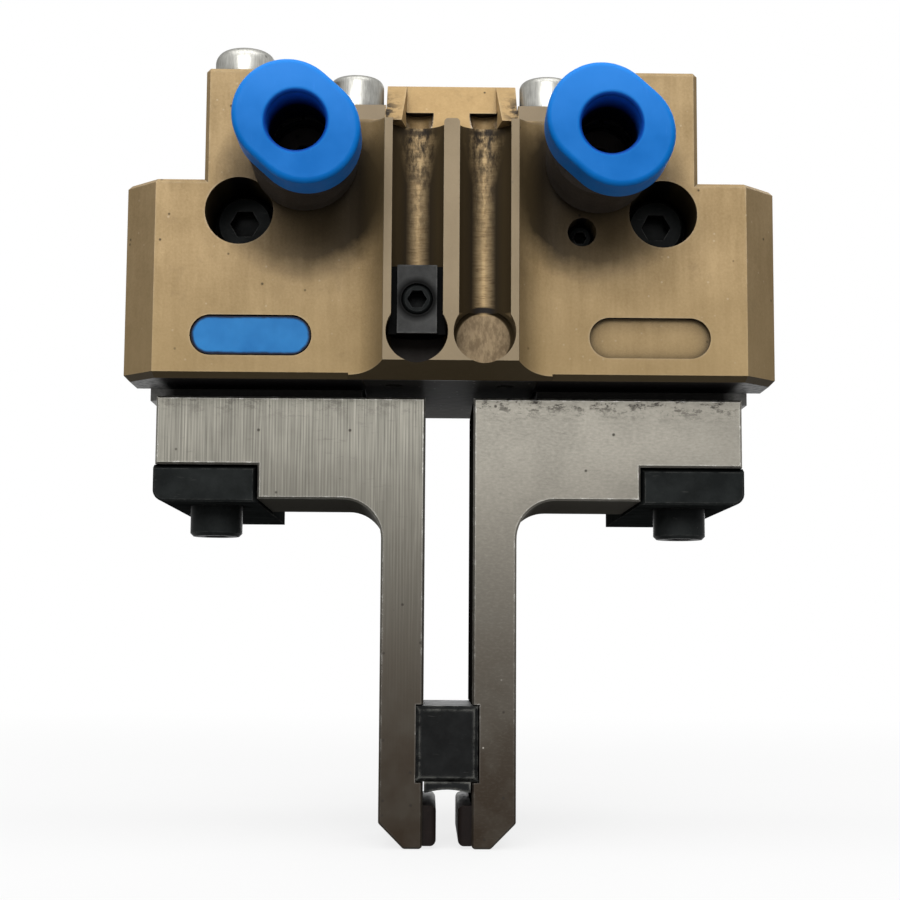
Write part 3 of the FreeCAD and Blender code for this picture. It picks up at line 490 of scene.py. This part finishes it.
def black_finish(name, base, worn, rough, wear, specular=0.02, rim=0.16, pitch=None, shaded_piece_and_screw=None):
    """Black oxide, rubber or plastic with a grain, faint scuffs and rubbed edges.

    A pitch gives it a thread behind the part's back. A piece and its screw, given as the last argument, make
    it darker round the screw and give it painted shade behind the piece's front.
    """
    look = Finish(name, rough, specular=specular)
    cloud = look.noise(size=2.5, detail=5.0, rough=0.65, seed=2.0)
    look.colour = look.mix(look.ramp(cloud, (0.35, 0.0), (0.68, 1.0)), base, scaled(base, 1.8))
    scuff = look.noise(size=0.3, stretch=(7, 1, 1), detail=4.0, seed=31.0)
    look.paint(worn, look.ramp(scuff, (0.66, 0.0), (0.76, 0.3)))
    patchy = look.noise(size=0.6, detail=5.0, seed=9.0)
    look.paint(worn, look.edges(rim), look.ramp(patchy, (0.38, 0.0), (0.6, 1.0)), wear)
    # Painted shade in corners and narrow gaps
    look.paint(scaled(base, 0.1), look.crevice(0.9), 0.9)
    if shaded_piece_and_screw:
        piece, screw = shaded_piece_and_screw
        low, high = box_mm(screw)
        middle = (low + high) / 2
        round_screw = look.ramp(look.from_axis_pair(abs(middle.x), middle.z),
                                (stop_hole_radius + 0.15, 0.92), (stop_hole_radius + 0.6, 0.0))
        # Painted shade on the faces behind the piece's front
        behind = look.above(Y, box_mm(piece)[0].y + 0.3, soft=0.1)
        look.paint(scaled(base, 0.06), look.math("MAXIMUM", round_screw, behind))
    look.set("Roughness", look.ramp(cloud, (0.3, rough + 0.08), (0.7, rough - 0.08)))
    look.bump(look.noise(size=0.14, detail=2.0), depth=0.006)
    if pitch:
        turns = look.math("SINE", look.times(look.axes[Y], tau / pitch))
        look.bump(look.times(turns, look.above(Y, 0.0, soft=0.05)), depth=0.08)
    return look.done()


def plastic(name, base, deep, rough):
    """Moulded or printed plastic: soft clouds and upright scuffs."""
    look = Finish(name, rough, specular=0.07)
    cloud = look.noise(size=3.0, detail=3.0, seed=7.0)
    look.colour = look.mix(look.ramp(cloud, (0.3, 0.0), (0.7, 1.0)), deep, base)
    scuff = look.noise(size=0.3, stretch=(1, 1, 7), detail=4.0, seed=11.0)
    look.paint(scaled(base, 1.2, lift=0.05), look.ramp(scuff, (0.64, 0.0), (0.78, 0.3)))
    look.set("Roughness", look.ramp(cloud, (0.3, rough + 0.06), (0.7, rough - 0.05)))
    look.bump(look.noise(size=0.25, detail=2.0), depth=0.004)
    look.bump(cloud, depth=0.015)
    return look


def collar_finish():
    """Blue collar with painted light on its top and painted shade inside its bore."""
    base = (0.004, 0.175, 0.59)
    look = plastic("blue_plastic", base, deep=(0.002, 0.142, 0.50), rough=0.42)
    # Painted light: the upper part of the collar is paler
    look.paint(scaled(base, 1.4, lift=0.025), look.above(Z, port_z + 2.5, soft=3.5))
    # Painted shade in the bore: a dark lip, a lighter painted wall past it, black deeper in
    lip = look.ramp(look.from_axis_pair(port_x, port_z),
                    (collar_bore_radius + 0.12, 1.0), (collar_bore_radius + 0.26, 0.0))
    past_lip = look.ramp(look.axes[Y], (collar_front + 0.2, 0.0), (collar_front + 0.6, 1.0))
    wall = look.mix(past_lip, (0.004, 0.050, 0.30), (0.012, 0.13, 0.62))
    painted_bore_shade = look.ramp(look.axes[Y], (collar_front + 0.9, 0.0), (collar_front + 3.2, 1.0))
    look.paint(look.mix(painted_bore_shade, wall, (0.001, 0.002, 0.015)), lip)
    return look.done()


def plate_finish():
    """Blank blue plate with painted shade along its slightly ragged rim."""
    look = plastic("blue_plate", base=(0.032, 0.25, 0.62), deep=(0.016, 0.17, 0.48), rough=0.3)
    low, high = box_mm("name_plate_blank")
    middle = (low + high) / 2
    radius = (high.z - low.z) / 2
    straight_half = (high.x - low.x) / 2 - radius
    along = look.math("SUBTRACT", look.math("ABSOLUTE", look.off(X, middle.x)), straight_half)
    away = look.reach(look.math("MAXIMUM", along, 0.0), look.off(Z, middle.z))
    ragged = look.plus(away, look.times(look.noise(size=0.9, detail=4.0, seed=23.0), 0.22))
    # Painted shade round the plate's rim
    look.paint((0.006, 0.010, 0.03), look.ramp(ragged, (radius - 0.12, 0.0), (radius + 0.04, 1.0)))
    return look.done()


def assign(finish, *nodes):
    """Gives some nodes one finish."""
    for node in nodes:
        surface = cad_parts[node].data.materials
        surface.clear()
        surface.append(finish)


def pair(*names):
    """The left and the right node of each name."""
    return [f"{name}_{side}" for name in names for side in ("left", "right")]


def dress_bodies():
    """Housing, cover, fingers, jaws, guard, collars and plate."""
    tip = (0.031, 0.023, 0.0165)
    left_finger = finger_finish("ground_steel_left", (0.157, 0.150, 0.128), tip, seed=1.0, ground=True)
    right_finger = finger_finish("ground_steel_right", (0.205, 0.193, 0.165), tip, seed=2.0, ground=False)
    assign(housing_finish(), "housing")
    assign(cover_finish(), "cylinder_cover")
    assign(left_finger, "finger_left")
    assign(right_finger, "finger_right")
    assign(jaw_finish(), *pair("base_jaw"))
    assign(guard_finish(), "bottom_guard", "guard_screws")
    assign(collar_finish(), *pair("release_ring"))
    assign(plate_finish(), "name_plate_blank")


def dress_metal():
    """Drive, bright screws and fittings."""
    drive = metal_finish("drive_steel", (0.45, 0.44, 0.42), (0.33, 0.32, 0.31), rough=0.35)
    alloy = metal_finish("piston_alloy", (0.66, 0.66, 0.66), (0.52, 0.52, 0.52), rough=0.34)
    bright = metal_finish("bright_screws", (0.46, 0.455, 0.42), (0.22, 0.217, 0.20), rough=0.38, wear=0.0)
    fitting = metal_finish("nickelled_brass", (0.060, 0.051, 0.044), (0.034, 0.028, 0.023), rough=0.45,
                           metal=0.25, wear=0.1, specular=0.06)
    collet = metal_finish("collet_steel", (0.06, 0.06, 0.06), (0.03, 0.03, 0.03), rough=0.4)
    assign(drive, "wedge_hook", "piston_screw", *pair("finger_dowels"))
    assign(alloy, "piston")
    assign(bright, "cover_screws", "port_plug_screw")
    assign(fitting, *pair("fitting_body"))
    assign(collet, *pair("collet"))


def dress_black():
    """Clamps, dark screws, stops, pads, seals and magnet."""
    black = (0.0155, 0.0172, 0.0170)
    dark = scaled(black, 0.6)
    worn = (0.16, 0.16, 0.15)
    bar = black_finish("black_bar", black, worn, rough=0.45, wear=0.5, specular=0.0)
    steel = black_finish("black_steel", black, worn, rough=0.40, wear=0.5)
    threaded = black_finish("black_steel_thread", dark, worn, rough=0.40, wear=0.4, pitch=0.45)
    set_screw = black_finish("black_set_screw", dark, (0.10, 0.10, 0.10), rough=0.40, wear=0.4)
    block = black_finish("block_steel", (0.011, 0.0115, 0.0115), (0.22, 0.22, 0.20), rough=0.5, wear=1.0,
                         rim=0.35)
    stop = black_finish("black_stop", (0.043, 0.043, 0.042), (0.15, 0.15, 0.145), rough=0.5, wear=0.8,
                        rim=0.25, shaded_piece_and_screw=("slot_stop", "slot_stop_screw"))
    seal = black_finish("seal_rubber", (0.008, 0.008, 0.008), (0.03, 0.03, 0.03), rough=0.7, wear=0.2)
    pad = black_finish("pad_rubber", (0.005, 0.003, 0.0025), (0.05, 0.035, 0.028), rough=0.55, wear=0.4,
                       specular=0.1)
    magnet = black_finish("magnet", (0.05, 0.05, 0.05), (0.2, 0.2, 0.2), rough=0.6, wear=0.3)
    assign(bar, *pair("clamp"))
    assign(steel, *pair("clamp_screw"), "bleed_screw")
    assign(threaded, "mounting_screws")
    assign(set_screw, "slot_stop_screw")
    assign(block, "stop_block")
    assign(stop, "slot_stop")
    assign(seal, "cylinder_cover_seal", "rod_seal", "piston_seal", *pair("fitting_gasket", "tube_seal"))
    assign(pad, *pair("tip_pad"))
    assign(magnet, "piston_magnet")


def seen_directly(tree):
    """1 for what the camera sees, in a mirror or through glass too, and 0 for light on the object."""
    path = tree.nodes.new("ShaderNodeLightPath")
    seen = path.outputs["Is Camera Ray"]
    for other in ("Is Glossy Ray", "Is Transmission Ray"):
        either = tree.nodes.new("ShaderNodeMath")
        either.operation = "MAXIMUM"
        tree.links.new(seen, either.inputs[0])
        tree.links.new(path.outputs[other], either.inputs[1])
        seen = either.outputs[0]
    return seen


def blend_shaders(tree, share, under, over, output):
    """Joins two shaders by a share to an output."""
    mix = tree.nodes.new("ShaderNodeMixShader")
    tree.links.new(share, mix.inputs[0])
    tree.links.new(under, mix.inputs[1])
    tree.links.new(over, mix.inputs[2])
    tree.links.new(mix.outputs[0], output)


def make_floor(low_point):
    """Pale floor that keeps a light shadow near the object and throws back only a little light."""
    half_side = 2.0
    level = low_point - 0.05 * MM
    mesh = bpy.data.meshes.new("floor")
    corners = [(x * half_side, y * half_side, level) for x, y in ((-1, -1), (1, -1), (1, 1), (-1, 1))]
    mesh.from_pydata(corners, [], [(0, 1, 2, 3)])
    floor = bpy.data.objects.new("floor", mesh)
    scene.collection.objects.link(floor)
    look = Finish("floor", rough=0.9, specular=0.0)
    cloud = look.ramp(look.noise(size=60.0), (0.3, 0.0), (0.7, 1.0))
    pale = look.mix(cloud, (0.90, 0.90, 0.90), (0.92, 0.92, 0.92))
    seen = seen_directly(look.tree)
    look.colour = look.mix(seen, (0.28, 0.28, 0.28), pale)
    look.done()
    white = look.add("ShaderNodeEmission", WHITE, 1.0)
    output = look.tree.nodes["Material Output"].inputs["Surface"]
    away = look.add("ShaderNodeVectorMath", look.place, operation="LENGTH").outputs["Value"]
    glow = look.ramp(away, (60.0, 0.8), (250.0, 1.0))
    blend_shaders(look.tree, look.times(seen, glow), look.shader.outputs[0], white.outputs[0], output)
    mesh.materials.append(look.material)


def make_world(ambient):
    """White behind the object, and a dim even light on it."""
    world = bpy.data.worlds.new("studio")
    scene.world = world
    world.use_nodes = True
    tree = world.node_tree
    tree.nodes.clear()
    room = tree.nodes.new("ShaderNodeBackground")
    room.inputs["Color"].default_value = WHITE
    room.inputs["Strength"].default_value = ambient
    white = tree.nodes.new("ShaderNodeBackground")
    white.inputs["Color"].default_value = WHITE
    output = tree.nodes.new("ShaderNodeOutputWorld").inputs["Surface"]
    blend_shaders(tree, seen_directly(tree), room.outputs[0], white.outputs[0], output)


def area_light(name, place, size, power):
    """Soft lamp that is aimed at the middle of the object. Lengths are in metres."""
    target = Vector((0.0, -0.02, -0.01))
    data = bpy.data.lights.new(name, "AREA")
    data.shape = "RECTANGLE"
    data.size, data.size_y = size
    data.energy = power
    lamp = bpy.data.objects.new(name, data)
    scene.collection.objects.link(lamp)
    lamp.location = place
    lamp.rotation_euler = (target - Vector(place)).to_track_quat("-Z", "Y").to_euler()


def make_camera():
    """Camera that looks along Y, turned by camera_turn."""
    data = bpy.data.cameras.new("camera")
    data.sensor_width = sensor_width
    data.lens = focal_pixels / image_width * sensor_width
    data.clip_start = near_clip
    eye = bpy.data.objects.new("camera", data)
    scene.collection.objects.link(eye)
    level = Matrix(((1, 0, 0), (0, 0, -1), (0, 1, 0)))
    turn = Vector(camera_turn)
    to_camera = Matrix.Rotation(turn.length, 3, turn.normalized()) @ level
    up_and_back = Matrix.Diagonal((1, -1, -1))
    rotation = (up_and_back @ to_camera).transposed().to_4x4()
    eye.matrix_world = Matrix.Translation(Vector(camera_place) * MM) @ rotation
    scene.camera = eye


dress_bodies()
dress_metal()
dress_black()
make_floor(cad_box[0].z)
make_world(ambient=0.08)
area_light("key", place=(-0.03, -0.42, 0.15), size=(0.30, 0.16), power=1.3)
area_light("top", place=(0.0, -0.16, 0.38), size=(0.5, 0.3), power=1.3)
area_light("back", place=(0.06, 0.40, 0.12), size=(0.40, 0.25), power=0.9)
make_camera()
